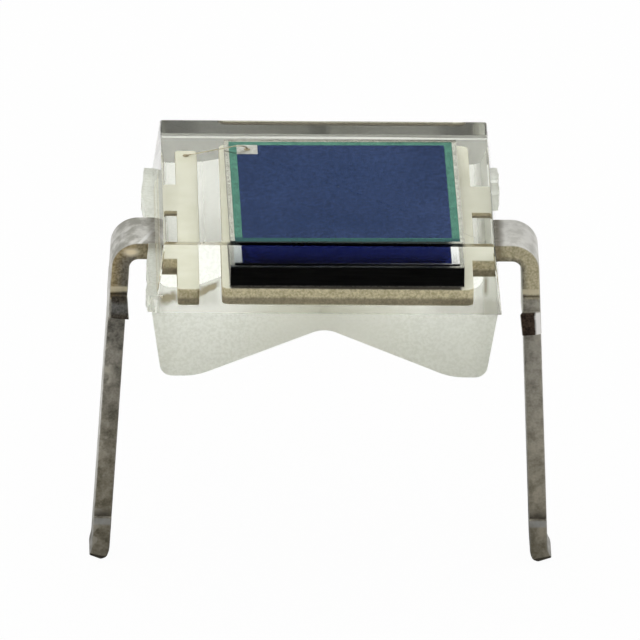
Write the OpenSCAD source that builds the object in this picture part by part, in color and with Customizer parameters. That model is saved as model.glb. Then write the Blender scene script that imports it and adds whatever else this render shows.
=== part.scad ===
/* [Resin body] */
// Length of the moulding at the parting line, from lead to lead
body_len = 4.30; // [4.2:0.05:4.6]
// Width of the moulding at the parting line
body_wid = 3.74; // [3.6:0.02:4.4]
// Height of the clear upper half above the parting line
upper_h = 0.91; // [0.8:0.01:1.2]
// Height of the frosted lower half, from the feet to the parting line
lower_h = 0.905; // [0.8:0.005:1.2]
// Draft of the polished upper walls, in degrees
upper_draft = 6.7; // [2:0.1:8]
// Draft of the frosted end walls, in degrees
end_draft = 8.2; // [3:0.1:12]
// Draft of the frosted front and back walls, in degrees
side_draft = 5.0; // [3:0.1:12]
// Step in from the upper half to the lower half at each end
parting_step = 0.01; // [0.005:0.005:0.06]
// Shift of the lower half along the length, where the two mould halves were out of line
mould_shift = -0.04; // [-0.05:0.01:0.05]
// Rise of the underside from the feet to the middle, before rounding
notch_h = 0.70; // [0.4:0.01:0.75]
// Width of a foot, from the outer corner to the start of the slope, before rounding
foot_w = 0.43; // [0.38:0.01:0.6]
// Radius at the middle of the underside
notch_r = 0.35; // [0.1:0.05:0.6]
// Radius where the slope runs into a foot
foot_inner_r = 0.80; // [0.1:0.05:0.85]
// Radius at the outer corner of a foot
foot_outer_r = 0.16; // [0.05:0.01:0.2]

/* [Mould flash] */
// Reach of the flash behind the anode lead
flash_anode = 0.13; // [0.04:0.01:0.16]
// Reach of the flash in front of the anode lead
flash_front = 0.09; // [0.04:0.01:0.14]
// Reach of the flash at the front corner on the anode side
flash_corner = 0.12; // [0.04:0.01:0.15]
// Reach of the two bits of flash behind the cathode lead
flash_cathode = 0.06; // [0.03:0.01:0.12]
// Reach of the flash along the back, on the gate side
flash_gate = 0.07; // [0.03:0.01:0.12]

/* [Lead frame] */
// Thickness of the stamped sheet
sheet_t = 0.225; // [0.18:0.005:0.3]
// Width of a lead from the resin to its stub
lead_w = 0.75; // [0.6:0.01:0.9]
// Width of a leg below the stub
leg_w = 0.47; // [0.4:0.01:0.55]
// Distance between the leg centres at the seating plane
lead_pitch = 5.18; // [5.08:0.01:5.5]
// Outward lean of each leg, in degrees
leg_splay = 2.8; // [0:0.1:5]
// Reach of the legs below the seating plane
leg_len = 3.32; // [2:0.02:6]
// Inner radius of the bend
bend_r = 0.12; // [0.1:0.01:0.18]
// Height of the sheared tie-bar stub along the lead
stub_h = 0.29; // [0.2:0.01:0.35]
// Reach of the stub beyond each edge of the lead
stub_reach = 0.10; // [0.02:0.01:0.2]
// Lower end of the anode's stub, above the seating plane
stub_anode = 0.13; // [0:0.01:0.2]
// Lower end of the cathode's stub, above the seating plane
stub_cathode = -0.03; // [-0.1:0.01:0.2]
// Length of the slightly wider tip
tip_len = 0.57; // [0.3:0.01:0.8]
// Gap in the resin between the anode's post and the cathode's paddle
post_gap = 0.26; // [0.2:0.01:0.28]
// Width of the anode's post
post_w = 0.27; // [0.2:0.01:0.28]
// Length of the anode's post, across the body
post_len = 2.91; // [2:0.01:3]
// Offset of the post from the middle of the body, towards the front
post_y = -0.115; // [-0.12:0.005:0.1]

/* [Chip] */
// Length of the chip along the body
chip_side = 2.90; // [2.4:0.05:2.95]
// Depth of the chip across the body
chip_deep = 2.95; // [2.4:0.01:3]
// Thickness of the silicon
chip_t = 0.24; // [0.2:0.01:0.3]
// Offset of the paddle from the middle of the body, towards the cathode
chip_x = 0.22; // [0.18:0.01:0.26]
// Offset of the chip on its paddle towards the back
chip_y = 0.02; // [-0.02:0.01:0.02]
// Turn of the chip on its paddle as it was placed, in degrees
chip_turn = 0.7; // [-1:0.1:1]
// Margin of the paddle at both ends of the chip
paddle_margin = 0.10; // [0.07:0.01:0.12]
// Margin of the paddle in front of the chip and behind it
paddle_lip = 0.06; // [0.05:0.01:0.1]
// Thickness of the adhesive under the chip
attach_t = 0.015; // [0.01:0.001:0.03]
// Width of the whitish ring along the chip's edge
ring_w = 0.055; // [0.02:0.005:0.08]
// Width of the green passivation inside that ring
frame_w = 0.097; // [0.05:0.001:0.15]
// Thickness of the films on the chip
film_t = 0.01; // [0.008:0.001:0.015]
// Side of the square bond pad
pad_side = 0.26; // [0.15:0.01:0.4]

/* [Bond wire] */
// Diameter of the gold wire
wire_d = 0.025; // [0.02:0.001:0.05]
// Radius of the loop above the chip
loop_r = 0.10; // [0.06:0.01:0.14]
// Diameter of the ball on the pad
ball_d = 0.08; // [0.06:0.005:0.12]

/* [Hidden] */
$fn = 48;
steps = 6;
seat_z = lower_h;
top_z = lower_h + upper_h;
sheet_top = seat_z + sheet_t;
top_inset = upper_h * tan(upper_draft);
end_inset = lower_h * tan(end_draft);
side_inset = lower_h * tan(side_draft);
foot_x = body_len / 2 - parting_step - end_inset;
notch_x = foot_x - foot_w;
chip_z = sheet_top + attach_t;
film_z = chip_z + chip_t;
pad_z = film_z + film_t;
border = 2 * (ring_w + frame_w);
paddle_side = chip_side + 2 * paddle_margin;
paddle_deep = chip_deep + 2 * paddle_lip;
paddle_r = paddle_margin;
post_x = chip_x - paddle_side / 2 - post_gap - post_w / 2;
post_r = post_w / 6;
turn = 90 - leg_splay;
mid_r = bend_r + sheet_t / 2;
leg_top = seat_z - bend_r + mid_r * cos(turn);
bend_x = lead_pitch / 2 - mid_r * sin(turn) - leg_top * tan(leg_splay);
leg_up = leg_top / cos(leg_splay);
leg_down = leg_len / cos(leg_splay);
shoulder_h = stub_h / 4;
neck_w = leg_w * 0.92;
neck_rise = tip_len / 2;
tip_w = leg_w * 1.06;
tip_cut = tip_w / 10;
pad_in = ring_w + frame_w + pad_side / 2;
pad_pos = chip_point([pad_in - chip_side / 2, chip_deep / 2 - pad_in]);
stitch_pos = [post_x, pad_pos[1]];
wire_span = norm(stitch_pos - pad_pos);
wire_way = atan2(stitch_pos[1] - pad_pos[1], stitch_pos[0] - pad_pos[0]);
ball_h = ball_d / 4;
neck_h = wire_d;
neck_d = wire_d * 1.3;
film_top = pad_z + film_t;
loop_z = film_top + ball_h + neck_h;
stitch_z = sheet_top + wire_d / 2;
drop = [wire_span - loop_r, stitch_z - loop_z];
drop_angle = atan2(drop[1], drop[0]) + acos(loop_r / norm(drop));
drop_len = sqrt(norm(drop) * norm(drop) - loop_r * loop_r);
flash_h = sheet_t;
flash_in = 0.10;

// Unit vector along v
function unit(v) = v / norm(v);

// A point of the chip's own plan, carried to where the chip was placed
function chip_point(p) = [
    chip_x + p[0] * cos(chip_turn) - p[1] * sin(chip_turn),
    chip_y + p[0] * sin(chip_turn) + p[1] * cos(chip_turn)];

// Arc of radius r that replaces the corner p between its neighbours a and b
function corner_arc(a, p, b, r) =
    let (u = unit(a - p), v = unit(b - p), half = acos(u * v) / 2)
    let (c = p + unit(u + v) * r / sin(half))
    let (s = p + u * r / tan(half) - c, e = p + v * r / tan(half) - c)
    let (from = atan2(s[1], s[0]), gap = atan2(e[1], e[0]) - from)
    let (sweep = gap > 180 ? gap - 360 : (gap < -180 ? gap + 360 : gap))
    [for (i = [0:steps]) c + r * [cos(from + sweep * i / steps), sin(from + sweep * i / steps)]];

// Closed outline with every corner rounded by the radius listed for it
function rounded(pts, radii) = let (n = len(pts)) [
    for (i = [0:n - 1])
        each radii[i] == 0
            ? [pts[i]]
            : corner_arc(pts[(i + n - 1) % n], pts[i], pts[(i + 1) % n], radii[i])];

// Outline in x and z, run through the body from front to back
module along_y() {
    rotate([90, 0, 0])
        linear_extrude(height = 2 * body_wid, center = true)
            children();
}

// Outline in y and z, run through the body from end to end
module along_x() {
    rotate([90, 0, 90])
        linear_extrude(height = 2 * body_len, center = true)
            children();
}

// Symmetrical tapered outline between two levels
module taper(low_w, low_z, high_w, high_z) {
    polygon([[-low_w / 2, low_z], [low_w / 2, low_z], [high_w / 2, high_z], [-high_w / 2, high_z]]);
}

// Rectangle in plan with rounded corners, centred
module plate(size_x, size_y, r) {
    x = size_x / 2;
    y = size_y / 2;
    polygon(rounded([[-x, -y], [x, -y], [x, y], [-x, y]], [r, r, r, r]));
}

// Polished half of the moulding, drafted on all four sides
module upper_half() {
    intersection() {
        along_y() taper(body_len, seat_z, body_len - 2 * top_inset, top_z);
        along_x() taper(body_wid, seat_z, body_wid - 2 * top_inset, top_z);
    }
}

// Front outline of the frosted half: two rounded feet and the shallow V between them
module foot_outline() {
    high = body_len / 2 - parting_step;
    polygon(rounded(
        [[high, seat_z], [-high, seat_z], [-foot_x, 0], [-notch_x, 0], [0, notch_h],
            [notch_x, 0], [foot_x, 0]],
        [0, 0, foot_outer_r, foot_inner_r, notch_r, foot_inner_r, foot_outer_r]));
}

// Frosted half of the moulding
module lower_half() {
    translate([mould_shift, 0, 0])
        intersection() {
            along_y() foot_outline();
            along_x() taper(body_wid - 2 * side_inset, 0, body_wid, seat_z);
        }
}

// Fin of flash on the wall at +X, left where resin ran out beside the lead frame
module flash_fin(wall, from_y, to_y, reach) {
    run = to_y - from_y;
    bite = reach / 3;
    translate([0, 0, seat_z])
        linear_extrude(height = flash_h)
            polygon(rounded(
                [[wall - flash_in, from_y], [wall + reach - bite, from_y], [wall + reach, from_y + run / 2],
                    [wall + reach - bite, to_y], [wall - flash_in, to_y]],
                [0, bite, bite, bite, 0]));
}

// All the flash around the moulding, at the level of the lead frame
module flash() {
    end = body_len / 2;
    edge = body_wid / 2;
    clear = lead_w / 2;
    split = edge * 0.80;
    mirror([1, 0, 0]) {
        flash_fin(end, clear, edge * 0.95, flash_anode);
        flash_fin(end, -split, -clear, flash_front);
        flash_fin(end, -edge * 0.99, -split, flash_corner);
    }
    flash_fin(end, split, edge * 0.99, flash_cathode);
    flash_fin(end, edge * 0.58, edge * 0.76, flash_cathode);
    rotate([0, 0, 90])
        flash_fin(edge, -end * 0.97, end * 0.97, flash_gate);
}

// The whole moulding before the parts inside it are taken out
module moulding() {
    upper_half();
    lower_half();
    flash();
}

// Stamped outline of a leg, from the bend down to the cropped tip, centred on the seating plane
module leg_outline(stub_low) {
    lead = lead_w / 2;
    stub = lead + stub_reach;
    leg = leg_w / 2;
    neck = neck_w / 2;
    tip = tip_w / 2;
    half = [[leg_up, lead], [stub_low + stub_h, lead], [stub_low + stub_h, stub], [stub_low, stub],
        [stub_low - shoulder_h, leg], [tip_len + neck_rise - leg_down, leg], [tip_len - leg_down, neck],
        [tip_len - leg_down, tip], [tip_cut - leg_down, tip], [-leg_down, tip - tip_cut]];
    n = len(half);
    polygon([for (i = [0:2 * n - 1]) i < n ? half[i] : [half[2 * n - 1 - i][0], -half[2 * n - 1 - i][1]]]);
}

// A lead on the +X end: the flat strip out of the resin, the bend, and the leg
module bent_lead(from_x, stub_low) {
    translate([bend_x, lead_w / 2, seat_z - bend_r])
        rotate([90, 0, 0])
            rotate([0, 0, leg_splay]) {
                rotate([0, 0, turn])
                    translate([bend_r, 0, 0])
                        cube([sheet_t, bend_x - from_x, lead_w]);
                rotate_extrude(angle = turn)
                    translate([bend_r, 0])
                        square([sheet_t, lead_w]);
                translate([bend_r, 0, lead_w / 2])
                    rotate([90, 0, 90])
                        linear_extrude(height = sheet_t)
                            translate([-leg_up, 0])
                                leg_outline(stub_low);
            }
}

// Places a part in the chip's own frame, at a height
module on_chip(z) {
    translate([chip_x, chip_y, z])
        rotate([0, 0, chip_turn])
            children();
}

// Ring of film, set in from the chip's edge
module film_ring(inset, width) {
    outer = [chip_side - 2 * inset, chip_deep - 2 * inset];
    linear_extrude(height = film_t)
        difference() {
            square(outer, center = true);
            square(outer - 2 * [width, width], center = true);
        }
}

module resin_body() {
    color([0.86, 0.87, 0.83, 0.45])
        difference() {
            moulding();
            anode_lead();
            cathode_lead();
            die_attach();
            silicon_chip();
            active_area();
            passivation_frame();
            edge_ring();
            bond_pad();
            bond_wire();
        }
}

module anode_lead() {
    color([0.62, 0.59, 0.55]) {
        translate([post_x, post_y, seat_z])
            linear_extrude(height = sheet_t)
                plate(post_w, post_len, post_r);
        mirror([1, 0, 0])
            bent_lead(-post_x, stub_anode);
    }
}

module cathode_lead() {
    color([0.62, 0.59, 0.55]) {
        translate([chip_x, 0, seat_z])
            linear_extrude(height = sheet_t)
                plate(paddle_side, paddle_deep, paddle_r);
        bent_lead(chip_x + chip_side / 2, stub_cathode);
    }
}

module die_attach() {
    color([0.75, 0.75, 0.73])
        on_chip(sheet_top)
            linear_extrude(height = attach_t)
                square([chip_side, chip_deep], center = true);
}

module silicon_chip() {
    color([0.07, 0.07, 0.08])
        on_chip(chip_z)
            linear_extrude(height = chip_t)
                square([chip_side, chip_deep], center = true);
}

module active_area() {
    color([0.16, 0.25, 0.43])
        on_chip(film_z)
            linear_extrude(height = film_t)
                square([chip_side - border, chip_deep - border], center = true);
}

module passivation_frame() {
    color([0.27, 0.55, 0.45])
        on_chip(film_z)
            film_ring(ring_w, frame_w);
}

module edge_ring() {
    color([0.88, 0.88, 0.86])
        on_chip(film_z)
            film_ring(0, ring_w);
}

module bond_pad() {
    color([0.92, 0.92, 0.90])
        on_chip(pad_z)
            translate([pad_in - chip_side / 2, chip_deep / 2 - pad_in, 0])
                linear_extrude(height = film_t)
                    square(pad_side, center = true);
}

module bond_wire() {
    color([0.83, 0.65, 0.25])
        translate([pad_pos[0], pad_pos[1], 0])
            rotate([0, 0, wire_way]) {
                translate([0, 0, film_top])
                    cylinder(d = ball_d, h = ball_h);
                translate([0, 0, film_top + ball_h])
                    cylinder(d = neck_d, h = neck_h + wire_d / 2);
                translate([loop_r, 0, loop_z])
                    rotate([90, 0, 0])
                        rotate([0, 0, drop_angle]) {
                            rotate_extrude(angle = 180 - drop_angle)
                                translate([loop_r, 0])
                                    circle(d = wire_d);
                            translate([loop_r, 0, 0])
                                rotate([90, 0, 0])
                                    cylinder(d = wire_d, h = drop_len);
                        }
                translate([wire_span, 0, sheet_top])
                    cylinder(d = ball_d, h = wire_d);
            }
}

resin_body();
anode_lead();
cathode_lead();
die_attach();
silicon_chip();
active_area();
passivation_frame();
edge_ring();
bond_pad();
bond_wire();
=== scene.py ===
import math
import random

import bmesh
import bpy
from mathutils import Matrix, Vector


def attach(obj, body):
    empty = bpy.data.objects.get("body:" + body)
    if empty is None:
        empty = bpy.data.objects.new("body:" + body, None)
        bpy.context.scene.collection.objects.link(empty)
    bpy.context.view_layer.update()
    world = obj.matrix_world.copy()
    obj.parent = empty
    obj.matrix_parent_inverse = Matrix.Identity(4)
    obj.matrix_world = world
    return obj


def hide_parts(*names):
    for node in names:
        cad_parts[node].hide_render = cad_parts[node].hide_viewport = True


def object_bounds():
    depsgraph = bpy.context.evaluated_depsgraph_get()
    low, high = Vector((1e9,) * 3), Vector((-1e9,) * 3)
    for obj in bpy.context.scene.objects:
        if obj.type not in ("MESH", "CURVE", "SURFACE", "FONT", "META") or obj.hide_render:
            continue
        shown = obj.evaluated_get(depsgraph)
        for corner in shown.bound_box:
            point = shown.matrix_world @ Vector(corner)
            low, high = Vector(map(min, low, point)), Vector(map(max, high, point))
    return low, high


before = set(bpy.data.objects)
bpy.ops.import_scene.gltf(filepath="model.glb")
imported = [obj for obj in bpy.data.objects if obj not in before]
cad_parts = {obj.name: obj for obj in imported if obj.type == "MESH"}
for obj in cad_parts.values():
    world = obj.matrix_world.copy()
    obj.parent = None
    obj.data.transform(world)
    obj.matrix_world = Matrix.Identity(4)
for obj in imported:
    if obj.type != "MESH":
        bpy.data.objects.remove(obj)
cad_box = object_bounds()

# Cathode lead: one strip of plated copper alloy. A press stamps it flat, with the square paddle
# that carries the chip at its inner end, and the free end is bent down after moulding. The stub
# is where the tie bar was sheared off, and the tip has the burr of the cropping tool.
MM = 0.001
sheet_t = 0.225
lead_w = 0.75
leg_w = 0.47
lead_pitch = 5.18
leg_lean = math.radians(2.8)
leg_len = 3.32
bend_r = 0.12
parting_z = 0.905
stub_h = 0.29
stub_reach = 0.10
stub_roll = 0.035
stub_cathode = -0.06
tip_len = 0.57
crop_h = 0.17
crop_roll = 0.10
crop_slant = 0.05
edge_break = 0.012
neck_share = 0.92
tip_share = 1.06
flare_cathode = (0.04, 0.02)
flare_back = (0, 0.01)
burr_cathode = 0.045
slant_pivot = 0.7
bend_cuts = 18
crop_cuts = 6
roll_cuts = (0.5, 0.7, 0.85)
rim_gain = 1.2
sharp_strip = math.radians(32)
chip_side = 2.90
chip_deep = 2.95
chip_x = 0.22
paddle_margin = 0.10
paddle_lip = 0.06
paddle_shift_in = 0.02
paddle_shift_out = 0.035
paddle_half = chip_side / 2 + paddle_margin
paddle_deep = chip_deep / 2 + paddle_lip

bend_turn = math.pi / 2 - leg_lean
mid_r = bend_r + sheet_t / 2
leg_top = parting_z - bend_r + mid_r * math.cos(bend_turn)
bend_x = lead_pitch / 2 - mid_r * math.sin(bend_turn) - leg_top * math.tan(leg_lean)
leg_up = leg_top / math.cos(leg_lean)
leg_down = leg_len / math.cos(leg_lean)
bend_end = bend_x + mid_r * bend_turn
tip_end = bend_end + leg_up + leg_down


def rounded(points, radii, steps=6):
    """A closed outline with an arc at every corner that has a radius."""
    out = []
    count = len(points)
    for i, (corner, radius) in enumerate(zip(points, radii)):
        p = Vector(corner)
        if radius == 0:
            out.append(p)
            continue
        a = (Vector(points[i - 1]) - p).normalized()
        b = (Vector(points[(i + 1) % count]) - p).normalized()
        half = math.acos(max(-1, min(1, a.dot(b)))) / 2
        centre = p + (a + b).normalized() * radius / math.sin(half)
        start = p + a * radius / math.tan(half) - centre
        end = p + b * radius / math.tan(half) - centre
        first = math.atan2(start.y, start.x)
        sweep = math.atan2(end.y, end.x) - first
        sweep = (sweep + math.pi) % (2 * math.pi) - math.pi
        for k in range(steps + 1):
            angle = first + sweep * k / steps
            out.append(centre + radius * Vector((math.cos(angle), math.sin(angle))))
    return out


def prism(outline, low_z, high_z):
    """A closed block with this outline between two levels."""
    bm = bmesh.new()
    low = [bm.verts.new((x, y, low_z)) for x, y in outline]
    high = [bm.verts.new((x, y, high_z)) for x, y in outline]
    bm.faces.new(low)
    bm.faces.new(list(reversed(high)))
    for i in range(len(outline)):
        j = (i + 1) % len(outline)
        bm.faces.new((low[j], low[i], high[i], high[j]))
    bmesh.ops.recalc_face_normals(bm, faces=bm.faces)
    return bm


def placed(name, mesh):
    """A new object with this mesh, in the scene."""
    made = bpy.data.objects.new(name, mesh)
    bpy.context.scene.collection.objects.link(made)
    return made


def into_object(bm, name):
    """The object that a finished bmesh turns into."""
    mesh = bpy.data.meshes.new(name)
    bm.to_mesh(mesh)
    bm.free()
    return placed(name, mesh)


def leg_half(stub_low):
    """Half of a leg's stamped outline, from the bend to the cropped tip: (run, half width)."""
    lead, leg = lead_w / 2, leg_w / 2
    stub, stub_high = lead + stub_reach, stub_low + stub_h
    neck, tip = leg * neck_share, leg * tip_share
    tip_cut = tip / 5
    stub_foot, neck_top = stub_low - stub_h / 4, 1.5 * tip_len
    rows = [(stub_high, lead), (stub_high, stub), (stub_low, stub), (stub_foot, leg),
            (neck_top - leg_down, leg), (tip_len - leg_down, neck), (tip_len - leg_down, tip),
            (tip_cut - leg_down, tip), (-leg_down, tip - tip_cut)]
    return [(bend_end + leg_up - v, w) for v, w in rows]


def worked(run, across, rise, stub_low, flare, burr):
    """Where the tools push a point of the flat strip: a rolled, flared stub and a cropped tip.

    flare is how far the front stub is spread at its top and at its foot.
    """
    share = rise / sheet_t
    on_stub = max(0, abs(across) - lead_w / 2) / stub_reach if run > bend_end else 0
    down_stub = min(1, max(0, 1 - (bend_end + leg_up - stub_low - run) / stub_h))
    past = min(1, max(0, 1 - (tip_end - run) / crop_h))
    rolled = crop_roll * (1 - math.sqrt(1 - past * past))
    high, low = flare if across < 0 else flare_back
    spread = on_stub * (high + (low - high) * down_stub)
    lift = (1 - share) * (rolled - spread) + share * burr * past * past * (3 - 2 * past)
    side_roll = math.copysign(stub_roll * share ** 4 * on_stub, across)
    return run + crop_slant * (slant_pivot - share) * past, across - side_roll, rise + lift


def bent(run, across, rise):
    """Where a point of the flat strip goes when the lead is bent."""
    radius = bend_r + rise
    turn = min(max((run - bend_x) / mid_r, 0), bend_turn)
    flat = min(run, bend_x)
    past = max(run - bend_end, 0)
    x = flat + radius * math.sin(turn) + past * math.cos(turn)
    z = parting_z - bend_r + radius * math.cos(turn) - past * math.sin(turn)
    return Vector((x, across, z))


def stamped_lead(name, inner, stub_low, flare, burr, side):
    """A lead stamped to its outline, with broken edges, then bent; side is +1 or -1 along X."""
    half = leg_half(stub_low)
    outline = inner + half + [(s, -w) for s, w in reversed(half)]
    bm = prism(outline, 0, sheet_t)
    rims = [e for e in bm.edges if abs(e.verts[0].co.z - e.verts[1].co.z) < 1e-6]
    bmesh.ops.bevel(bm, geom=rims, offset=edge_break, segments=2, profile=0.5,
                    affect="EDGES", clamp_overlap=True)
    sheared = bm.faces.layers.float.new("sheared")
    bm.normal_update()
    for face in bm.faces:
        face[sheared] = 1 - min(1, abs(face.normal.z) * rim_gain)
    bmesh.ops.triangulate(bm, faces=bm.faces)
    cuts = [bend_x + (bend_end - bend_x) * k / bend_cuts for k in range(bend_cuts + 1)]
    cuts += [tip_end - crop_h * (1 - k / crop_cuts) for k in range(crop_cuts)]
    planes = [((at, 0, 0), (1, 0, 0)) for at in cuts]
    planes += [((0, 0, share * sheet_t), (0, 0, 1)) for share in roll_cuts]
    for point, normal in planes:
        bmesh.ops.bisect_plane(bm, geom=bm.verts[:] + bm.edges[:] + bm.faces[:],
                               plane_co=point, plane_no=normal)
    rise = bm.verts.layers.float.new("rise")
    for vert in bm.verts:
        vert[rise] = vert.co.z / sheet_t
        place = bent(*worked(*vert.co, stub_low, flare, burr))
        place.x *= side
        vert.co = place * MM
    if side < 0:
        bmesh.ops.reverse_faces(bm, faces=bm.faces)
    piece = into_object(bm, name)
    for poly in piece.data.polygons:
        poly.use_smooth = True
    piece.data.set_sharp_from_angle(angle=sharp_strip)
    return piece


class Shade:
    """A node socket; arithmetic on it adds Math nodes, and node() adds any other kind."""

    family = "ShaderNode"

    def __init__(self, tree, socket=None):
        self.tree = tree
        self.socket = socket

    def node(self, kind, settings=None, sockets=None, out=0):
        made = self.tree.nodes.new(self.family + kind)
        for name, value in (settings or {}).items():
            setattr(made, name, value)
        for key, value in (sockets or {}).items():
            for one in value if isinstance(value, list) else [value]:
                if isinstance(one, Shade):
                    self.tree.links.new(one.socket, made.inputs[key])
                else:
                    made.inputs[key].default_value = one
        return type(self)(self.tree, made.outputs[out] if made.outputs else None)

    def output(self, name):
        """Another output of the node that this socket belongs to."""
        return type(self)(self.tree, self.socket.node.outputs[name])

    def maths(self, operation, *values):
        return self.node("Math", {"operation": operation}, dict(enumerate(values)))

    def __add__(self, other):
        return self.maths("ADD", self, other)

    def __radd__(self, other):
        return self.maths("ADD", other, self)

    def __sub__(self, other):
        return self.maths("SUBTRACT", self, other)

    def __rsub__(self, other):
        return self.maths("SUBTRACT", other, self)

    def __mul__(self, other):
        return self.maths("MULTIPLY", self, other)

    def __rmul__(self, other):
        return self.maths("MULTIPLY", other, self)

    def __abs__(self):
        return self.maths("ABSOLUTE", self)

    def over(self, low, high):
        """0 below low, 1 above high, smooth between."""
        return self.node("MapRange", {"interpolation_type": "SMOOTHSTEP"},
                         {"Value": self, "From Min": low, "From Max": high})

    def band(self, low, high, soft):
        """1 between low and high, 0 outside, with soft ends."""
        return self.over(low - soft, low + soft) * (1 - self.over(high - soft, high + soft))

    def mix(self, first, second):
        """The colour first where this is 0, second where it is 1."""
        return self.node("Mix", {"data_type": "RGBA"}, {0: self, 6: first, 7: second}, 2)


def finish_tree(name):
    """A new material, and its tree with nothing in it yet."""
    material = bpy.data.materials.new(name)
    material.use_nodes = True
    material.node_tree.nodes.clear()
    return material, Shade(material.node_tree)


def place_mm(shade, stretch=(1, 1, 1)):
    """Object coordinates in millimetres, stretched by axis."""
    coords = shade.node("TexCoord", out="Object")
    return shade.node("Mapping", sockets={0: coords, "Scale": tuple(1000 * s for s in stretch)})


def grain(shade, place, scale, detail=4, rough=0.55):
    """Noise of so many lumps in a millimetre, from 0 to 1."""
    return shade.node("TexNoise", sockets={
        "Vector": place, "Scale": scale, "Detail": detail, "Roughness": rough})


def surface(shade, **sockets):
    """The Principled surface of a finish, joined to its output."""
    named = {name.replace("_", " "): value for name, value in sockets.items()}
    bsdf = shade.node("BsdfPrincipled", sockets=named)
    shade.node("OutputMaterial", sockets={"Surface": bsdf})


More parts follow.
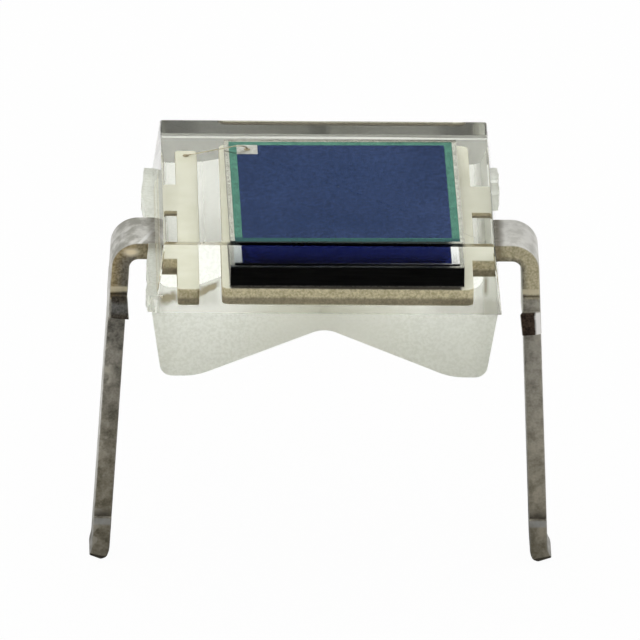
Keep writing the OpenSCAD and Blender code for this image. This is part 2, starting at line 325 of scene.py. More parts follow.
def plated_finish():
    """Bright matt plating where the resin keeps it clean, tarnished outside; edges are sheared."""
    resin_end, root_shade_end = (2.06, 2.13), (2.17, 2.28)
    bleed_side, bleed_edge = 0.09, (0.065, 0.105)
    diagonal_streak_x, diagonal_streak_slope, diagonal_streak_edge = 2.145, 0.447, (0.012, 0.04)
    rear_shade_y, bend_x_range = (1.28, 1.5), (-2.40, -2.30)
    bend_glint_x, bend_glint_z, bend_glint_size = 2.42, 1.005, (9, 15)
    tip_z, leg_z = (-2.8, -0.2), (0.37, 0.43)
    crease_z, press_z, torn_z = (0.415, 0.445), (0.46, 0.53), (0.20, 0.34)
    notch_shade_h, lip_h, neck_edge = 0.16, 0.10, 0.01
    shadow = (0.10, 0.09, 0.075, 1)
    material, sh = finish_tree("plated_sheet")
    place = place_mm(sh)
    sheared = sh.node("Attribute", {"attribute_name": "sheared"}, out="Fac")
    rise = sh.node("Attribute", {"attribute_name": "rise"}, out="Fac")
    along = sh.node("SeparateXYZ", sockets={0: place})
    across, height = along.output("Y"), along.output("Z")
    outside = abs(along).over(*resin_end)
    cathode_end = along.over(-1, 1)
    cloud = grain(sh, place, 2.2, 5)
    fine = grain(sh, place, 16, 3)
    pits = grain(sh, place, 34, 2)
    speck = (fine * 0.4 + pits * 0.6).over(0.34, 0.66)

    # Flat faces: clean in the resin, with adhesive bleed-out and painted shade at the chip's foot, and
    # tarnished outside.
    clean = cloud.over(0.3, 0.7).mix((0.91, 0.90, 0.75, 1), (0.98, 0.97, 0.84, 1))
    beside = sh.maths("MAXIMUM", abs(along - chip_x) - chip_side / 2 + bleed_side,
                      abs(across) - chip_deep / 2)
    # Adhesive bleed-out and painted shade along the chip's foot, fading towards the back.
    bleed_and_shade = (1 - (beside + fine * 0.03).over(*bleed_edge)) * (1 - outside)
    bleed_and_shade = bleed_and_shade * rise.over(0.6, 0.9) * (1 - across.over(0, 1))
    clean = bleed_and_shade.mix(clean, shadow)
    stain = grain(sh, place, 6, 4).over(0.35, 0.65)
    dull = stain.mix((0.42, 0.41, 0.36, 1), (0.76, 0.75, 0.70, 1))
    dull = (cathode_end * 0.4).mix(dull, (0.86, 0.85, 0.80, 1))
    # A lighter diagonal streak across the anode lead's top near the body.
    diagonal_streak = 1 - abs(along + diagonal_streak_x - across * diagonal_streak_slope).over(*diagonal_streak_edge)
    dull = (diagonal_streak * 0.7).mix(dull, (0.95, 0.95, 0.92, 1))
    # Painted shade on the tops where the leads leave the body.
    root = 1 - (abs(along) + fine * 0.06).over(*root_shade_end)
    root = root * (0.3 + cathode_end * 0.2 + fine * 0.7)
    dull = root.mix(dull, (0.20, 0.18, 0.14, 1))

    # Sheared edges: tan in the resin; outside, the bend, then the leg, the stub and the tip.
    cut_in = (rise + fine * 0.15).over(0.42, 0.62).mix(
        speck.mix((0.25, 0.215, 0.15, 1), (0.38, 0.33, 0.235, 1)),
        speck.mix((0.48, 0.42, 0.26, 1), (0.78, 0.70, 0.50, 1)))
    # Painted shade on the rear ends of the sheared edges in the resin.
    cut_in = (across.over(*rear_shade_y) * 0.7).mix(cut_in, shadow)
    brown = (rise + fine * 0.4).over(0.4, 1.25).mix(
        speck.mix((0.10, 0.09, 0.07, 1), (0.25, 0.225, 0.18, 1)),
        speck.mix((0.28, 0.21, 0.10, 1), (0.50, 0.41, 0.24, 1)))
    olive = speck.mix((0.19, 0.16, 0.095, 1), (0.40, 0.35, 0.23, 1))
    brown = along.over(*bend_x_range).mix(brown, olive)
    golden = (rise + fine * 0.2).over(0.1, 0.5).mix(
        speck.mix((0.14, 0.125, 0.09, 1), (0.32, 0.29, 0.22, 1)),
        speck.mix((0.40, 0.355, 0.22, 1), (0.66, 0.595, 0.41, 1)))
    cut_high = cathode_end.mix(brown, golden)
    # Painted highlight: a cream glint on the anode's bend.
    bend_glint_reach = sh.node("CombineXYZ", sockets={0: (along + bend_glint_x) * bend_glint_size[0],
                                         1: (height - bend_glint_z) * bend_glint_size[1]})
    bend_glint_reach = sh.node("VectorMath", {"operation": "LENGTH"}, {0: bend_glint_reach}, "Value")
    bend_glint = (1 - (bend_glint_reach + fine * 0.5).over(0.5, 1.5)) * 0.9
    cut_high = bend_glint.mix(cut_high, (0.99, 0.87, 0.63, 1))
    tone = grain(sh, place, 5, 3).over(0.3, 0.7) * 0.65 + speck * 0.35 + cathode_end * 0.26 - 0.10
    cut_low = height.over(*tip_z).mix(
        tone.mix((0.20, 0.178, 0.122, 1), (0.56, 0.51, 0.40, 1)),
        tone.mix((0.12, 0.113, 0.095, 1), (0.42, 0.395, 0.335, 1)))
    # Painted glints: light spots on the legs' sheared edges, more on the anode's.
    mottle = grain(sh, place, 7, 1).over(0.56, 0.66) * rise.over(0.4, 0.75) * (0.6 - cathode_end * 0.35)
    cut_low = mottle.mix(cut_low, (0.66, 0.62, 0.52, 1))
    cut_out = height.over(*leg_z).mix(cut_low, cut_high)
    creased = height.band(*crease_z, 0.015) * (0.5 + fine * 0.7)
    cut_out = creased.mix(cut_out, (0.06, 0.045, 0.03, 1))
    pressed = height.band(*press_z, 0.015) * (0.6 + fine * 0.5)
    cut_out = pressed.mix(cut_out, (0.68, 0.61, 0.44, 1))
    torn_grey = height.band(*torn_z, 0.04).mix(
        speck.mix((0.03, 0.024, 0.018, 1), (0.10, 0.085, 0.065, 1)),
        speck.mix((0.09, 0.088, 0.08, 1), (0.19, 0.185, 0.17, 1)))
    torn_brown = speck.mix((0.014, 0.008, 0.005, 1), (0.075, 0.050, 0.034, 1))
    torn = cathode_end.mix(torn_grey, torn_brown)
    on_stub = abs(across).over(lead_w / 2 + stub_reach * 0.3, lead_w / 2 + stub_reach * 0.7)
    rolled = (rise + fine * 0.1 + cathode_end * 0.16).over(0.86, 1.0)
    cut_out = (on_stub * (1 - rolled)).mix(cut_out, torn)
    # Painted highlight: the cathode stub's rolled edge is near white.
    cut_out = (on_stub * rolled * cathode_end).mix(cut_out, (0.97, 0.95, 0.92, 1))
    neck_z = tip_len - leg_len
    # Painted shade on the taper just above the neck, and painted light on the lip just below it.
    above_neck = height.over(neck_z - neck_edge, neck_z + neck_edge)
    notch_shade = (1 - height.over(neck_z, neck_z + notch_shade_h)) * above_neck * (0.4 + fine * 0.8)
    cut_out = notch_shade.mix(cut_out, (0.07, 0.062, 0.05, 1))
    lip = height.band(neck_z - lip_h, neck_z - neck_edge, 0.02) * (0.35 + fine * 0.6)
    cut_out = lip.mix(cut_out, (0.58, 0.59, 0.58, 1))
    # Painted shade on the sheared edges where the leads leave the body.
    cut_out = (root * (0.2 + cathode_end * 0.5)).mix(cut_out, (0.12, 0.085, 0.045, 1))
    colour = sheared.mix(outside.mix(clean, dull), outside.mix(cut_in, cut_out))
    bump = sh.node("Bump", sockets={"Strength": 0.2, "Distance": 0.00001,
                                    "Height": cloud * 0.3 + fine * 0.4 + pits * 0.3})
    shine = 0.45 - outside * 0.15 - sheared * (0.45 - outside * 0.27)
    surface(sh, Base_Color=colour, Metallic=shine, IOR=1.25,
            Roughness=0.42 + fine * 0.16 + sheared * 0.1, Normal=bump)
    return material


paddle_in = chip_x - paddle_half + paddle_shift_in
paddle_out = chip_x + paddle_half + paddle_shift_out
paddle = rounded([(paddle_out, -lead_w / 2), (paddle_out, -paddle_deep), (paddle_in, -paddle_deep),
                  (paddle_in, paddle_deep), (paddle_out, paddle_deep), (paddle_out, lead_w / 2)],
                 [0, paddle_margin, paddle_margin, paddle_margin, paddle_margin, 0])
cathode = stamped_lead("cathode_strip", paddle, stub_cathode, flare_cathode, burr_cathode, 1)
plated = plated_finish()
cathode.data.materials.append(plated)
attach(cathode, "root")
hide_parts("cathode_lead")

# Anode lead: the second strip of the same plated sheet. Its inner end is a narrow post across
# the body, where the bond wire lands, and the rest is shaped and bent as the cathode is.
stub_anode = 0.13
flare_anode = (0, 0.04)
burr_anode = 0.02
post_gap = 0.26
post_w = 0.27
post_len = 2.91
post_y = -0.115
post_in = post_gap + paddle_half - chip_x
post_out = post_in + post_w
post_front, post_back = post_y - post_len / 2, post_y + post_len / 2
post_corner = post_w / 6
post = rounded([(post_out, -lead_w / 2), (post_out, post_front), (post_in, post_front),
                (post_in, post_back), (post_out, post_back), (post_out, lead_w / 2)],
               [0, post_corner, post_corner, post_corner, post_corner, 0])
anode = stamped_lead("anode_strip", post, stub_anode, flare_anode, burr_anode, -1)
anode.data.materials.append(plated)
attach(anode, "root")
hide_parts("anode_lead")


# Die attach: the thin layer of silver-filled adhesive that holds the chip to the paddle.
# It is dispensed wet, and cured before the wire is bonded.
def refinish(node, material):
    """Gives a CAD node its finish."""
    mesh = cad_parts[node].data
    mesh.materials.clear()
    mesh.materials.append(material)


attach_t = 0.015
adhesive, sh = finish_tree("silver_adhesive")
flakes = grain(sh, place_mm(sh), 40, 2)
filled = flakes.over(0.35, 0.65).mix((0.035, 0.032, 0.028, 1), (0.10, 0.095, 0.085, 1))
surface(sh, Base_Color=filled, Metallic=0.3, Roughness=0.5)
refinish("die_attach", adhesive)

# Silicon chip: a square sawn from a wafer, so its sides are finely scored. They are black; the one
# towards the anode is painted greyer, as painted light. It sits on the adhesive, a little turned on its
# paddle.
chip_t = 0.24
chip_y = 0.02
chip_turn = math.radians(0.7)
sawn_edge = (0.002, 0.006)
silicon, sh = finish_tree("silicon")
score = grain(sh, place_mm(sh, (1, 1, 14)), 3, 3).over(0.3, 0.7)
spot = sh.node("SeparateXYZ", sockets={0: place_mm(sh)})
along = spot - chip_x + (spot.output("Y") - chip_y) * math.tan(chip_turn) + chip_side / 2
sawn = along.over(*sawn_edge).mix(score.mix((0.22, 0.215, 0.20, 1), (0.28, 0.27, 0.25, 1)),
                                  score.mix((0.001, 0.001, 0.001, 1), (0.004, 0.004, 0.004, 1)))
surface(sh, Base_Color=sawn, Roughness=0.5, IOR=1.03)
refinish("silicon_chip", silicon)

# Active area: the blue antireflection coating over the chip's sensitive part. It is grown on the
# wafer, so it is a weak mirror, and it turns darker when it is seen at a slant.
film_t = 0.01
coating, sh = finish_tree("blue_coating")
place = place_mm(sh)
drift = grain(sh, place, 0.6, 3)
speck = grain(sh, place, 18, 3, 0.7)
tone = (drift * 0.3 + speck * 0.7).over(0.36, 0.64)
blue = tone.mix((0.009, 0.022, 0.066, 1), (0.029, 0.050, 0.129, 1))
surface(sh, Base_Color=blue, Metallic=1.0, Specular_Tint=(0.415, 0.385, 0.405, 1), Roughness=0.12)
refinish("active_area", coating)

# Passivation frame: the green film around the blue, grown on the wafer too. At a slant it turns pale,
# a painted sheen that is strongest at the cathode's end. Along the front it is painted darker, and
# black at a slant, as painted shade.
frame_w = 0.097
frame_front = (-1.33, -1.27)
frame_slant = (0.35, 0.65)
passivation, sh = finish_tree("green_passivation")
place = place_mm(sh)
film = grain(sh, place, 8, 2).over(0.3, 0.7).mix((0.06, 0.17, 0.133, 1), (0.086, 0.214, 0.167, 1))
slant = sh.node("LayerWeight", sockets={"Blend": 0.5}, out="Facing").over(*frame_slant)
spot = sh.node("SeparateXYZ", sockets={0: place})
behind = spot.output("Y").over(*frame_front)
film = behind.mix((0.027, 0.085, 0.088, 1), film)
glint = spot.over(0, 1).mix((0.56, 0.60, 0.59, 1), (0.92, 0.93, 0.91, 1))
mirror = {"Metallic": 1.0, "Specular Tint": (0.6, 0.6, 0.65, 1), "Roughness": 0.15}
green = sh.node("BsdfPrincipled", sockets={"Base Color": film, **mirror})
light = sh.node("BsdfPrincipled", sockets={"Base Color": glint, **mirror})
dark = sh.node("BsdfPrincipled", sockets={
    **mirror, "Base Color": (0.006, 0.009, 0.014, 1), "Specular Tint": (0.12, 0.13, 0.17, 1)})
sheen = sh.node("MixShader", sockets={0: behind, 1: dark, 2: light})
sheen = sh.node("MixShader", sockets={0: slant, 1: green, 2: sheen})
sh.node("OutputMaterial", sockets={"Surface": sheen})
refinish("passivation_frame", passivation)

# Edge ring: the bright metal border along the chip's sawn edge, evaporated on the wafer. It is drawn
# dark along the front, as the photograph shows it.
ring_w = 0.055
ring_front = (-1.40, -1.37)
ring_corner = (1.45, 1.6)
ring, sh = finish_tree("edge_metal")
place = place_mm(sh)
wear = grain(sh, place, 12, 3)
spot = sh.node("SeparateXYZ", sockets={0: place})
shaded = 1 - (spot.output("Y") - (spot - chip_x) * math.tan(chip_turn)).over(*ring_front)
shaded = shaded * (1 - spot.over(*ring_corner))
metal = wear.over(0.3, 0.7).mix((0.38, 0.38, 0.34, 1), (0.49, 0.49, 0.45, 1))
surface(sh, Base_Color=shaded.mix(metal, (0.02, 0.028, 0.028, 1)), Metallic=1.0,
        Specular_Tint=(0.7, 0.7, 0.7, 1), Roughness=0.2)
refinish("edge_ring", ring)

# Bond pad: a bright aluminium square in one corner of the chip, where the wire is bonded.
# It is evaporated on the wafer, and the bonding tool leaves it a little scuffed.
pad_side = 0.26
pad, sh = finish_tree("pad_metal")
scuff = grain(sh, place_mm(sh), 20, 3)
bright = scuff.over(0.3, 0.7).mix((0.46, 0.46, 0.43, 1), (0.60, 0.60, 0.57, 1))
surface(sh, Base_Color=bright, Metallic=1.0, Roughness=0.3)
refinish("bond_pad", pad)

# Bond wire: fine gold wire from the pad to the post. It starts in a flattened ball, loops over
# the chip's edge and is pressed flat where it lands.
wire_d = 0.025
loop_r = 0.10
ball_d = 0.08
ball_h = ball_d / 4
press_near, press_far = 0.05, 0.08
pad_in = ring_w + frame_w + pad_side / 2
film_top = parting_z + sheet_t + attach_t + chip_t + 2 * film_t
loop_z = film_top + ball_h + wire_d
stitch_z = parting_z + sheet_t + wire_d / 2
on_pad = Matrix.Rotation(chip_turn, 2) @ Vector((pad_in - chip_side / 2, chip_deep / 2 - pad_in))
on_pad += Vector((chip_x, chip_y))
on_post = Vector((-post_in - post_w / 2, on_pad.y))
wire_span = (on_post - on_pad).length


def wire_path(steps=10):
    """The wire's centre line: up from the ball, over the loop and straight down to the post."""
    drop = Vector((wire_span - loop_r, stitch_z - loop_z))
    leave = math.atan2(drop.y, drop.x) + math.acos(loop_r / drop.length)
    points = [(0, film_top + ball_h / 2)]
    for k in range(steps + 1):
        angle = math.pi + (leave - math.pi) * k / steps
        points.append((loop_r + loop_r * math.cos(angle), loop_z + loop_r * math.sin(angle)))
    points.append((wire_span, stitch_z))
    return [Vector((on_pad.x - along, on_pad.y, z)) * MM for along, z in points]


class Shape(Shade):
    """The same for a Geometry Nodes tree."""

    family = "GeometryNode"


def wire_group():
    """Geometry Nodes: a round wire along the path, with a flattened ball at both of its ends."""
    tree = bpy.data.node_groups.new("bonded_wire", "GeometryNodeTree")
    for name, kind in (("Path", "Geometry"), ("Wire radius", "Float"), ("Ball size", "Vector"),
                       ("Finish", "Material")):
        tree.interface.new_socket(name, in_out="INPUT", socket_type="NodeSocket" + kind)
    tree.interface.new_socket("Wire", in_out="OUTPUT", socket_type="NodeSocketGeometry")
    given = Shape(tree, tree.nodes.new("NodeGroupInput").outputs["Path"])
    path = given.node("MeshToCurve", sockets={"Mesh": given})
    ring_line = given.node("CurvePrimitiveCircle", sockets={
        "Resolution": 12, "Radius": given.output("Wire radius")})
    tube = given.node("CurveToMesh", sockets={
        "Curve": path, "Profile Curve": ring_line, "Fill Caps": True})
    ends = given.node("CurveEndpointSelection")
    lump = given.node("MeshUVSphere", sockets={"Segments": 20, "Rings": 10, "Radius": 1.0})
    lumps = given.node("InstanceOnPoints", sockets={
        "Points": path, "Selection": ends, "Instance": lump, "Scale": given.output("Ball size")})
    whole = given.node("JoinGeometry", sockets={"Geometry": [tube, lumps]})
    real = given.node("RealizeInstances", sockets={"Geometry": whole})
    smooth = given.node("SetShadeSmooth", sockets={"Geometry": real})
    done = given.node("SetMaterial", sockets={"Geometry": smooth, "Material": given.output("Finish")})
    tree.links.new(done.socket, tree.nodes.new("NodeGroupOutput").inputs["Wire"])
    return tree


gold, sh = finish_tree("gold_wire")
place = place_mm(sh)
draw = grain(sh, place, 30, 2).over(0.3, 0.7)
spot = sh.node("SeparateXYZ", sockets={0: place})
at_pad = spot.over(on_pad.x - press_far, on_pad.x - press_near)
off_post = spot.over(on_post.x + press_near, on_post.x + press_far)
pressed = at_pad + 1 - off_post
drawn = draw.mix((0.60, 0.54, 0.39, 1), (0.74, 0.68, 0.51, 1))
flattened = draw.mix((0.30, 0.25, 0.15, 1), (0.46, 0.39, 0.26, 1))
surface(sh, Base_Color=pressed.mix(drawn, flattened), Metallic=0.5, Roughness=0.3)
line = wire_path()
wire_mesh = bpy.data.meshes.new("wire_path")
wire_mesh.from_pydata(line, [(k, k + 1) for k in range(len(line) - 1)], [])
wire = placed("gold_bond", wire_mesh)
group = wire_group()
along_path = wire.modifiers.new("wire", "NODES")
along_path.node_group = group
wanted = {"Wire radius": wire_d / 2 * MM, "Finish": gold,
          "Ball size": (ball_d / 2 * MM, ball_d / 2 * MM, ball_h / 2 * MM)}
for item in group.interface.items_tree:
    if item.name in wanted:
        along_path[item.identifier] = wanted[item.name]
wire.data = bpy.data.meshes.new_from_object(wire.evaluated_get(bpy.context.evaluated_depsgraph_get()))
wire.modifiers.clear()
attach(wire, "root")
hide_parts("bond_wire")

# Resin body: one block of clear epoxy, moulded around the chip and both strips. The upper half comes
# from a polished cavity, and its front wall has painted brown shade towards both ends. The lower comes
# from a blasted one that sits a little off it, so it is frosted, and flash is left at the level of the
# lead frame.
body_len = 4.30
body_wid = 3.74
upper_h = 0.91
top_z = parting_z + upper_h
upper_draft = math.tan(math.radians(6.7))
end_draft = math.tan(math.radians(8.2))
side_draft = math.tan(math.radians(5.0))
parting_step = 0.01
mould_shift = -0.04
notch_h = 0.70
foot_w = 0.43
notch_r = 0.35
foot_inner_r = 0.80
foot_outer_r = 0.16
corner_r = 0.025
rim_r = 0.028
flat_area = 0.3
sharp_resin = math.radians(20)
foot_x = body_len / 2 - parting_step - parting_z * end_draft
notch_x = foot_x - foot_w
flash_anode = 0.13
flash_front = 0.09
flash_corner = 0.12
flash_cathode = 0.06
flash_gate = 0.07
flash_in = 0.10
flash_points = 9
flash_ragged = 0.16
flash_seed = 4
resin_ior = 1.57
corner_x, corner_z = (-2.10, -1.86, 0.05), (1.09, 1.23, 0.04)
streak_x, streak_z = (1.92, 1.97, 0.03), (1.22, 1.48, 0.06)
wedge_x, wedge_z = (-1.62, -1.36, 0.04), (1.23, 1.35, 0.03)
wedge_mid, wedge_slope = 1.46, 0.5
soft_shade_left_x, soft_shade_left_z = (-1.85, -1.36, 0.05), (1.06, 1.25, 0.05)
soft_shade_right_x, soft_shade_right_z = (1.30, 2.30, 0.15), (0.80, 1.17, 0.05)
soft_shade_weight = 0.4
front_wall_y = (-1.80, -1.72)
gate_y = (1.84, 1.9)
lit_middle = (0.3, 1.2)
shaded_end = (0.9, 1.6)
rim_before_chip = (-0.03, 0.05)


def drafted(profile, half_wid, slope):
    """A closed block with this front outline and with front and back walls that lean in."""
    bm = bmesh.new()
    front, back = [], []
    for x, z in profile:
        y = half_wid - abs(z - parting_z) * slope
        front.append(bm.verts.new((x, -y, z)))
        back.append(bm.verts.new((x, y, z)))
    bm.faces.new(front)
    bm.faces.new(list(reversed(back)))
    for i in range(len(profile)):
        j = (i + 1) % len(profile)
        bm.faces.new((front[i], back[i], back[j], front[j]))
    bmesh.ops.recalc_face_normals(bm, faces=bm.faces)
    return bm


def upper_half():
    """The polished half, with its upright corners and its top rim rounded off."""
    half = body_len / 2
    top = half - upper_h * upper_draft
    bm = drafted([(-half, parting_z), (half, parting_z), (top, top_z), (-top, top_z)],
                 body_wid / 2, upper_draft)
    upright = [e for e in bm.edges if abs(e.verts[0].co.z - e.verts[1].co.z) > upper_h / 2]
    bmesh.ops.bevel(bm, geom=upright, offset=corner_r, segments=3, profile=0.5, affect="EDGES")
    rim = [e for e in bm.edges if min(v.co.z for v in e.verts) > top_z - 1e-6]
    bmesh.ops.bevel(bm, geom=rim, offset=rim_r, segments=3, profile=0.5, affect="EDGES")
    return into_object(bm, "upper_half")


def lower_half():
    """The frosted half: two rounded feet and the shallow V between them."""
    high = body_len / 2 - parting_step
    outline = rounded([(high, parting_z), (-high, parting_z), (-foot_x, 0), (-notch_x, 0), (0, notch_h),
                       (notch_x, 0), (foot_x, 0)],
                      [0, 0, foot_outer_r, foot_inner_r, notch_r, foot_inner_r, foot_outer_r], 8)
    bm = drafted(outline, body_wid / 2, side_draft)
    bmesh.ops.translate(bm, verts=bm.verts, vec=(mould_shift, 0, 0))
    return into_object(bm, "lower_half")


def flash_fin(wall, start, stop, reach, turn, draw):
    """A ragged fin of flash on the wall at +X, turned about Z to the wall that it is left on."""
    edge = [(wall - flash_in, start)]
    for k in range(flash_points):
        share = k / (flash_points - 1)
        swell = 1 - abs(2 * share - 1) / 3
        out = reach * swell * (1 - flash_ragged * draw.random())
        edge.append((wall + out, start + (stop - start) * share))
    edge.append((wall - flash_in, stop))
    bm = prism(edge, parting_z, parting_z + sheet_t)
    bmesh.ops.rotate(bm, verts=bm.verts, cent=(0, 0, 0), matrix=Matrix.Rotation(turn, 3, "Z"))
    return into_object(bm, "flash")


def flash():
    """All the flash: along the anode's end, two bits behind the cathode, and the gate side."""
    draw = random.Random(flash_seed)
    end, edge, clear = body_len / 2, body_wid / 2, lead_w / 2
    split = edge * 0.80
    half_turn, quarter = math.pi, math.pi / 2
    return [flash_fin(end, -edge * 0.95, -clear, flash_anode, half_turn, draw),
            flash_fin(end, clear, split, flash_front, half_turn, draw),
            flash_fin(end, split, edge * 0.99, flash_corner, half_turn, draw),
            flash_fin(end, split, edge * 0.99, flash_cathode, 0, draw),
            flash_fin(end, edge * 0.58, edge * 0.76, flash_cathode, 0, draw),
            flash_fin(edge, -end * 0.97, end * 0.97, flash_gate, quarter, draw)]


def join_by_boolean(base, others):
    """Fuses the closed blocks into one skin."""
    for other in others:
        union = base.modifiers.new("union", "BOOLEAN")
        union.operation = "UNION"
        union.solver = "EXACT"
        union.object = other
    depsgraph = bpy.context.evaluated_depsgraph_get()
    mesh = bpy.data.meshes.new_from_object(base.evaluated_get(depsgraph))
    base.modifiers.clear()
    old = base.data
    base.data = mesh
    bpy.data.meshes.remove(old)
    for other in others:
        data = other.data
        bpy.data.objects.remove(other)
        bpy.data.meshes.remove(data)


resin = upper_half()
join_by_boolean(resin, [lower_half()] + flash())
resin.name = "resin_moulding"
clear, sh = finish_tree("clear_resin")
place = place_mm(sh)
ripple = grain(sh, place, 1.1, 2)
wave = sh.node("Bump", sockets={"Strength": 0.05, "Distance": 0.00002, "Height": ripple})
spot = sh.node("SeparateXYZ", sockets={0: place})
height = spot.output("Z") + grain(sh, place, 9, 2) * 0.12
# Painted shade: brown patches on the front wall towards both ends.
corner = spot.band(*corner_x) * height.band(*corner_z)
streak = spot.band(*streak_x) * height.band(*streak_z)
wedge = spot.band(*wedge_x) * (height - (spot + wedge_mid) * wedge_slope).band(*wedge_z)
soft_shade = (spot.band(*soft_shade_left_x) * height.band(*soft_shade_left_z)
        + spot.band(*soft_shade_right_x) * height.band(*soft_shade_right_z)) * soft_shade_weight
front_wall_shade = sh.maths("MAXIMUM", corner + streak, sh.maths("MAXIMUM", wedge, soft_shade))
front_wall_shade = front_wall_shade * (1 - spot.output("Y").over(*front_wall_y))
tint = ripple.over(0.3, 0.7).mix((0.965, 0.975, 0.925, 1), (0.975, 0.985, 0.935, 1))
surface(sh, Base_Color=front_wall_shade.mix(tint, (0.17, 0.135, 0.07, 1)), Roughness=0.015, IOR=resin_ior,
        Transmission_Weight=1.0, Normal=wave)
frosted, sh = finish_tree("frosted_resin")
place = place_mm(sh)
blast = grain(sh, place, 25, 3)
matt = blast.over(0.35, 0.65).mix((0.79, 0.81, 0.73, 1), (0.96, 0.98, 0.91, 1))
spot = sh.node("SeparateXYZ", sockets={0: place})
matt = ((1 - abs(spot).over(*lit_middle)) * 0.7).mix(matt, (1.0, 1.0, 0.95, 1))
matt = (spot.over(*shaded_end) * 0.25).mix(matt, (0.62, 0.63, 0.58, 1))
matt = (spot.output("Y").over(*gate_y) * 0.6).mix(matt, (0.42, 0.43, 0.40, 1))
surface(sh, Base_Color=matt, Roughness=0.5 + blast * 0.2, IOR=resin_ior, Transmission_Weight=0.75)
# Painted shade: a darker copy of the frosted finish, on the lower faces that face down or back.
foot, sh = finish_tree("shaded_frosted")
blast = grain(sh, place_mm(sh), 25, 3)
matt = blast.over(0.35, 0.65).mix((0.55, 0.565, 0.51, 1), (0.68, 0.69, 0.63, 1))
surface(sh, Base_Color=matt, Roughness=0.5 + blast * 0.2, IOR=resin_ior, Transmission_Weight=0.95)
# Top rim: mottled brown at the back. Along the front it is light tan beside the chip and painted black
# in front of the chip, a painted shade where the chip's dark side shows through.
rim_finish, sh = finish_tree("rim_resin")
place = place_mm(sh)
rim_grain = grain(sh, place, 14, 3)
spot = sh.node("SeparateXYZ", sockets={0: place})
beside = abs(spot - chip_x).over(*(chip_side / 2 + step for step in rim_before_chip))
front = beside.mix((0.01, 0.01, 0.01, 1), (0.50, 0.46, 0.38, 1))
mottle = rim_grain.over(0.3, 0.7).mix((0.13, 0.11, 0.08, 1), (0.24, 0.215, 0.17, 1))
surface(sh, Base_Color=spot.output("Y").over(-1, 1).mix(front, mottle), Roughness=0.2 + rim_grain * 0.2,
        IOR=1.05, Transmission_Weight=1.0)
resin.data.materials.clear()
for finish in (clear, frosted, rim_finish, foot):
    resin.data.materials.append(finish)
polished_face, frosted_face, rim_face, shaded_face = range(4)
skin, on_level, below_level = 0.004, 0.002, 0.0001
rim_tilt, not_flat, facing, downward = 0.2, 0.98, 0.9, -0.3
for poly in resin.data.polygons:
    x, y, z = poly.center
    lean = (z - parting_z) * upper_draft - skin
    fin = abs(x) > body_len / 2 - lean or y > body_wid / 2 - lean
    rim = z > top_z - rim_r and rim_tilt < abs(poly.normal.y) and abs(poly.normal.z) < not_flat
    ledge = abs(z - parting_z) < on_level and abs(poly.normal.z) > facing
    low = z < parting_z - below_level or ledge
    hidden = poly.normal.z < downward or poly.normal.y > facing
    if low and hidden and not fin and not ledge:
        poly.material_index = shaded_face
    elif low or fin:
        poly.material_index = frosted_face
    else:
        poly.material_index = rim_face if rim else polished_face
    poly.use_smooth = True
resin.data.set_sharp_from_angle(angle=sharp_resin)
flat_rims = {key for poly in resin.data.polygons if poly.area > flat_area for key in poly.edge_keys}
for edge in resin.data.edges:
    edge.use_edge_sharp = edge.use_edge_sharp or edge.key in flat_rims
resin.data.transform(Matrix.Scale(MM, 4))
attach(resin, "root")
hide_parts("resin_body")

# Stage: a plain pale floor under the tips of the legs, shaded close under the part. It is dim far in
# front of it in reflections, brighter through the resin, and white to the camera.
floor_half = 0.2
floor_drop = 0.00004
shade_y = 1.3
shade_reach = (3.1, 5.7)
dim_y, dim_share = (-8, -4), 0.97
floor_dark, floor_lit, floor_through = 0.02, 0.95, 0.6
white_share = 0.97
floor_mesh = bpy.data.meshes.new("floor")
floor_z = cad_box[0][2] - floor_drop
floor_mesh.from_pydata([(-floor_half, -floor_half, floor_z), (floor_half, -floor_half, floor_z),
                        (floor_half, floor_half, floor_z), (-floor_half, floor_half, floor_z)],
                       [], [(0, 1, 2, 3)])
floor = placed("floor", floor_mesh)
pale, sh = finish_tree("pale_floor")
path_kind = sh.node("LightPath", out="Is Camera Ray")
spot = sh.node("SeparateXYZ", sockets={0: place_mm(sh)})
plan = sh.node("CombineXYZ", sockets={0: spot, 1: spot.output("Y") + shade_y})
reach = sh.node("VectorMath", {"operation": "LENGTH"}, {0: plan}, "Value")
dim_front = path_kind.output("Is Glossy Ray") * (1 - spot.output("Y").over(*dim_y))
lit = floor_lit + path_kind.output("Is Transmission Ray") * floor_through
paper = (floor_dark + reach.over(*shade_reach) * lit) * (1 - dim_front * dim_share)
diffuse = sh.node("BsdfDiffuse", sockets={"Color": (0.80, 0.80, 0.78, 1)})
white = sh.node("Emission", sockets={"Color": (1, 1, 1, 1), "Strength": 1.0})
glow = sh.node("Emission", sockets={"Color": paper, "Strength": 1.0})
seen = sh.node("MixShader", sockets={0: white_share, 1: diffuse, 2: white})
both = sh.node("MixShader", sockets={0: path_kind, 1: glow, 2: seen})
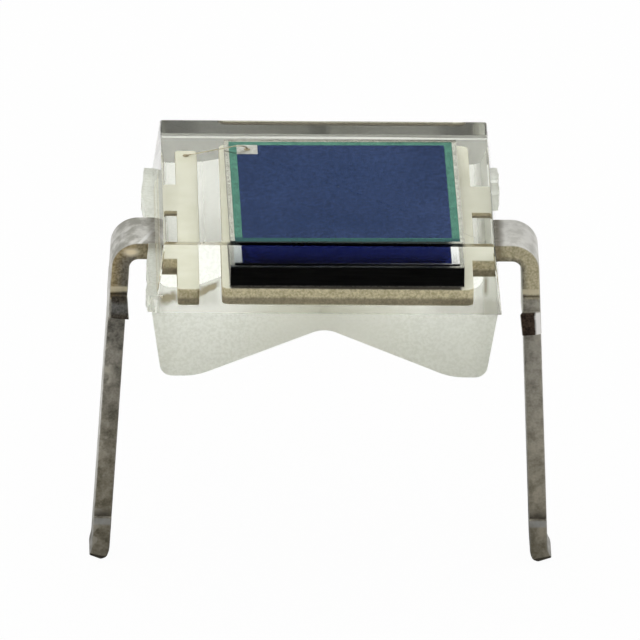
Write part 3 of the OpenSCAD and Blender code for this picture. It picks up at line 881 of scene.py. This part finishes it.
sh.node("OutputMaterial", sockets={"Surface": both})
floor_mesh.materials.append(pale)

# Light: an even soft sky, brightest overhead, dim near the horizon and dimmer there in reflections.
# It is white to the camera, and brighter through the resin, as fitted to the photograph.
horizon, horizon_dimmed = 0.32, 0.20
overhead_z, overhead_gain = (0.45, 0.85), 1.1
through_resin = 1.75
world = bpy.data.worlds.new("soft_sky")
bpy.context.scene.world = world
world.use_nodes = True
world.node_tree.nodes.clear()
sh = Shade(world.node_tree)
way = sh.node("SeparateXYZ", sockets={0: sh.node("TexCoord", out="Generated")})
path_kind = sh.node("LightPath", out="Is Camera Ray")
low_sky = horizon - path_kind.output("Is Glossy Ray") * horizon_dimmed
level = low_sky + way.output("Z").over(*overhead_z) * overhead_gain
shown = sh.maths("MAXIMUM", path_kind, path_kind.output("Is Transmission Ray") * through_resin)
strength = sh.maths("MAXIMUM", level, shown)
sky = sh.node("Background", sockets={"Color": (1, 1, 1, 1), "Strength": strength})
sh.node("OutputWorld", sockets={"Surface": sky})

# Camera: the photograph's, fitted to the edges of the moulding.
azimuth, elevation, roll = math.radians(-1.6576), math.radians(26.157), math.radians(1.1025)
distance = 260.0
focal_px = 20851.0
photo_px = 640
sensor = 36.0
aim = Vector((-0.0447, 0, -0.0996))
back = Vector((math.sin(azimuth) * math.cos(elevation), -math.cos(azimuth) * math.cos(elevation),
               math.sin(elevation)))
right = Vector((math.cos(azimuth), math.sin(azimuth), 0))
up = back.cross(right)
across = math.cos(roll) * right + math.sin(roll) * up
upward = math.cos(roll) * up - math.sin(roll) * right
lens = bpy.data.cameras.new("camera")
lens.sensor_width = sensor
lens.lens = sensor * focal_px / photo_px
lens.clip_start = 0.001
lens.clip_end = 10.0
camera = bpy.data.objects.new("camera", lens)
turned = Matrix((across, upward, back)).transposed().to_4x4()
camera.matrix_world = Matrix.Translation((aim + back * distance) * MM) @ turned
bpy.context.scene.collection.objects.link(camera)
bpy.context.scene.camera = camera
bpy.context.scene.view_settings.view_transform = "Standard"
